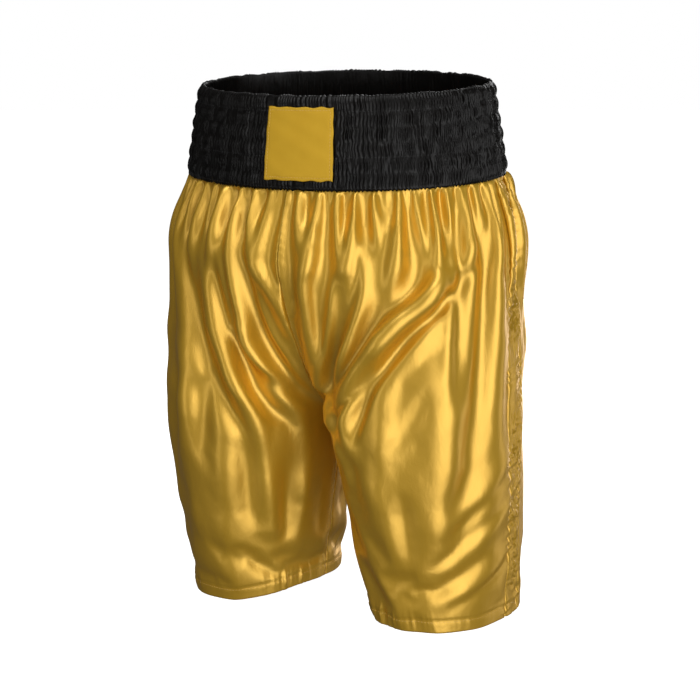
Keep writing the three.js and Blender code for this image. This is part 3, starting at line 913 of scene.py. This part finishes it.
# A run of stitches: rods along a path, each with radius r sqrt(1 - 0.9 t^2) at t from -1 to 1 and its
# ends dipping into the cloth
def stitchRun(name, path, normals, stitch, material, slotName, *nodes, closed=False):
    length, gap, radius = stitch["length"], stitch["gap"], stitch["radius"]
    path, normals = np.asarray(path), np.asarray(normals)
    if closed:
        path, normals = np.concatenate([path, path[:1]]), np.concatenate([normals, normals[:1]])
    s = np.concatenate([[0], np.cumsum(np.linalg.norm(np.diff(path, axis=0), axis=1))])
    count = max(1, int((s[-1] - 0.5 * gap) // (length + gap)))
    t = np.linspace(-1, 1, rod["rings"])
    start = (np.arange(count) + 0.5) * s[-1] / count
    at = start[:, None] + t[None, :] * length / 2

    def sample(values):
        return np.stack([np.interp(at, s, values[:, k]) for k in range(3)], -1)

    centre, normal = sample(path), sample(normals)
    normal /= np.linalg.norm(normal, axis=-1, keepdims=True)
    along = np.gradient(centre, axis=1)
    side = np.cross(along, normal)
    side /= np.maximum(np.linalg.norm(side, axis=-1, keepdims=True), 1e-9)
    r = radius * np.sqrt(1 - 0.9 * t**2)[None, :, None, None]
    centre = centre + normal * (radius * (0.65 - 1.1 * t**2))[None, :, None]
    turn = np.arange(rod["sides"]) * 2 * math.pi / rod["sides"]
    ring = normal[:, :, None] * np.cos(turn)[:, None] + side[:, :, None] * np.sin(turn)[:, None]
    points = (centre[:, :, None] + r * ring).reshape(-1, 3)
    top = (rod["rings"] - 1) * rod["sides"]
    caps = [[5, 4, 3, 2], [5, 2, 1, 0], [top, top + 1, top + 2, top + 3], [top, top + 3, top + 4, top + 5]]
    one = np.concatenate([gridFaces(rod["rings"], rod["sides"], loopColumns=True), caps])
    faces = one[None] + (top + rod["sides"]) * np.arange(count)[:, None, None]
    obj = addMesh(name, points, faces.reshape(-1, 4))
    finishPiece(obj, material, slotName, *nodes)


def bandStitching(name, h, node):
    path = bandSurface(ringAngles, h, -faceOffset(ringAngles, np.full(ringAngles.shape, h)))
    normals = bandNormal(ringAngles)
    stitchRun(name, path, normals, stitches["band"], blackThread, "black_thread", node, closed=True)


for row in range(1, band["channels"]):
    h = band["firstRow"] + row * (shape["bandHeight"] - band["firstRow"]) / band["channels"]
    bandStitching(f"waistbandStitchRow{row}", h, f"waistband_stitch_row_{row}")
bandStitching("waistSeamThread", band["firstRow"], "waist_seam_thread")


def patchStitching():  # a closed run, a lip's width in from the edges
    lip = patch["lip"]
    w, h = patch["width"], patch["height"]
    k = np.linspace(0, 1, 40)[:-1]
    across = np.concatenate([mix(lip, w - lip, k), 0 * k + w - lip, mix(w - lip, lip, k), 0 * k + lip])
    up = np.concatenate([0 * k + lip, mix(lip, h - lip, k), 0 * k + h - lip, mix(h - lip, lip, k)])
    path = patchPoint(across, up, patch["inset"] + stitches["patch"]["radius"])
    normals = bandNormal(patchAngle(across))
    ends = ("gold_thread", "patch_stitching")
    stitchRun("patchStitching", path, normals, stitches["patch"], goldThread, *ends, closed=True)


patchStitching()

# Panels of each half: flat size and flat area, metres
panels = [
    ("frontPanel", "front_panel", (0.385, 0.56), 0.17),
    ("sideStrip", "side_strip", (0.040, 0.53), 0.0205),
    ("backPanel", "back_panel", (0.385, 0.58), 0.16),
]
words = {1: "Left", -1: "Right"}
for side, word in words.items():
    for number, (name, node, flat, flatArea) in enumerate(panels):
        first, last = edgeColumns[number], edgeColumns[number + 1]
        satinPiece(side, first, last, name + word, f"{node}_{word.lower()}")
print("satin panels made")

# Seam stitching: metres from the seam, and rows of the fine grid left bare at its ends
seams = {"beside": 0.0018, "inseam": 0.0015, "inner": 0.0075, "hem": 0.0135}
bare = {"top": 5, "crotch": 3, "hem": 8}
fineCrotch = crotchRow * grid["finer"]
fineEnd = len(fineHalves[1]) - 1


# Stitching down a column of the half grid, moved a set distance towards the neighbouring columns
def seamRun(name, side, column, fromRow, toRow, aside, *nodes):
    p, n = fineHalves[side], fineNormals[side]
    rows = slice(fromRow, toRow)
    toward = p[rows, column + (2 if aside > 0 else -2)] - p[rows, column]
    toward /= np.linalg.norm(toward, axis=-1, keepdims=True)
    path = p[rows, column] + toward * abs(aside)
    stitchRun(name, path, n[rows, column], stitches["seam"], goldThread, "gold_thread", *nodes)


rise = (bare["top"], fineCrotch - bare["crotch"])
inseam = (fineCrotch + bare["crotch"], fineEnd - bare["hem"])
sideSeam = (bare["top"], fineEnd - bare["hem"])
beside = seams["beside"]
seamRun("frontRiseThread", 1, edgeColumns[0], *rise, beside, "front_rise_thread")
seamRun("backRiseThread", 1, edgeColumns[3], *rise, -beside, "back_rise_thread")
for side, word in words.items():
    tag = word.lower()
    front, back = f"side_seam_thread_front_{tag}", f"side_seam_thread_back_{tag}"
    seamRun(f"inseamThread{word}", side, 0, *inseam, seams["inseam"], f"inseam_thread_{tag}")
    seamRun(f"inseamThreadInner{word}", side, 0, *inseam, seams["inner"])
    seamRun(f"sideSeamThreadFront{word}", side, edgeColumns[1], *sideSeam, beside, front)
    seamRun(f"sideSeamThreadBack{word}", side, edgeColumns[2], *sideSeam, -beside, back)
    p, n = fineHalves[side], fineNormals[side]
    hemRow = fineEnd - round(seams["hem"] / np.linalg.norm(p[-1] - p[-2], axis=-1).mean())
    name, node = f"hemStitching{word}", f"hem_stitching_{tag}"
    path, normals = p[hemRow, :-1], n[hemRow, :-1]
    stitchRun(name, path, normals, stitches["seam"], goldThread, "gold_thread", node, closed=True)
print("stitching made")

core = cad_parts["waistband_elastic"]  # inside the casing
core.data.materials.clear()
core.data.materials.append(elastic)

# Studio: pale floor, soft lights, camera
studio = {
    "azimuth": 30.4,
    "distance": 2.0757,
    "eye": 0.640,
    "aim": 0.282,
    "aside": 0.0071,
    "lens": 98.3,
    "middle": (0, 0, 0.3),   # what the lights face
    "ambient": 0.09,         # sky's strength on the cloth
    "backdrop": 1.0,         # sky's strength as the camera sees it
}


# Point at an azimuth from the front towards the wearer's left, and an elevation
def around(azimuth, elevation, distance):
    a, e = math.radians(azimuth), math.radians(elevation)
    flat = distance * math.cos(e)
    return Vector((flat * math.sin(a), -flat * math.cos(a), studio["middle"][2] + distance * math.sin(e)))


def softLight(name, place, size, power):  # a rectangle that faces the middle of the shorts
    lamp = bpy.data.lights.new(name, "AREA")
    lamp.shape = "RECTANGLE"
    lamp.size, lamp.size_y = size
    lamp.energy = power
    obj = bpy.data.objects.new(name, lamp)
    obj.location = place
    obj.rotation_euler = (Vector(studio["middle"]) - place).to_track_quat("-Z", "Y").to_euler()
    scene.collection.objects.link(obj)


def studioFloor():
    f = Finish("paleFloor", Roughness=0.9, Specular_IOR_Level=0.1, Emission_Strength=1.1)
    shade = f.noise(f.objectPlace(), 1.5)
    pale = f.colourMix(shade, (0.88, 0.88, 0.87, 1), (0.9, 0.9, 0.89, 1))
    f.feed("Base Color", pale)
    f.feed("Emission Color", pale)
    angle = np.linspace(0, 2 * math.pi, 96, endpoint=False)[None, :]
    radius = np.array([0.001, 2, 12])[:, None]
    flat = np.broadcast_arrays(radius * np.cos(angle), radius * np.sin(angle), 0 * radius - 0.0005)
    points = np.stack(flat, -1)
    obj = addMesh("studioFloor", points.reshape(-1, 3), gridFaces(3, 96, loopColumns=True))
    obj.data.materials.append(f.material)
    obj.visible_glossy = obj.visible_diffuse = obj.visible_shadow = False  # satin isn't lit by it


studioFloor()
a = math.radians(studio["azimuth"])
right = Vector((math.cos(a), math.sin(a), 0))
eye = Vector((studio["distance"] * math.sin(a), -studio["distance"] * math.cos(a), studio["eye"]))
aim = right * studio["aside"] + Vector((0, 0, studio["aim"]))
camera = bpy.data.objects.new("camera", bpy.data.cameras.new("camera"))
camera.data.lens, camera.data.sensor_width = studio["lens"], 36
camera.location = eye
camera.rotation_euler = (aim - eye).to_track_quat("-Z", "Y").to_euler()
scene.collection.objects.link(camera)
scene.camera = camera

# Azimuth, elevation, distance, size, power
lights = {
    "keyLight": (52, -2, 2.2, (1.9, 3.0), 46),
    "sideLight": (140, 0, 2.3, (0.6, 2.6), 7),
    "stripLight": (-18, 0, 2.3, (0.45, 2.6), 7.5),
    "frontLight": (12, 56, 2.2, (1.4, 1.0), 18),
    "topLight": (30, 85, 1.9, (1.0, 1.0), 6),
    "backLight": (187, 12, 2.2, (1.3, 2.4), 36),
}
for name, (azimuth, elevation, distance, size, power) in lights.items():
    softLight(name, around(azimuth, elevation, distance), size, power)

world = bpy.data.worlds.new("studioWorld")
scene.world = world
world.use_nodes = True
sky = world.node_tree.nodes["Background"]
sky.inputs["Color"].default_value = (1, 1, 1, 1)
seen = world.node_tree.nodes.new("ShaderNodeLightPath")
level = world.node_tree.nodes.new("ShaderNodeMapRange")
level.inputs["To Min"].default_value = studio["ambient"]
level.inputs["To Max"].default_value = studio["backdrop"]
world.node_tree.links.new(seen.outputs["Is Camera Ray"], level.inputs["Value"])
world.node_tree.links.new(level.outputs["Result"], sky.inputs["Strength"])
scene.view_settings.view_transform = "Standard"
print("studio set")
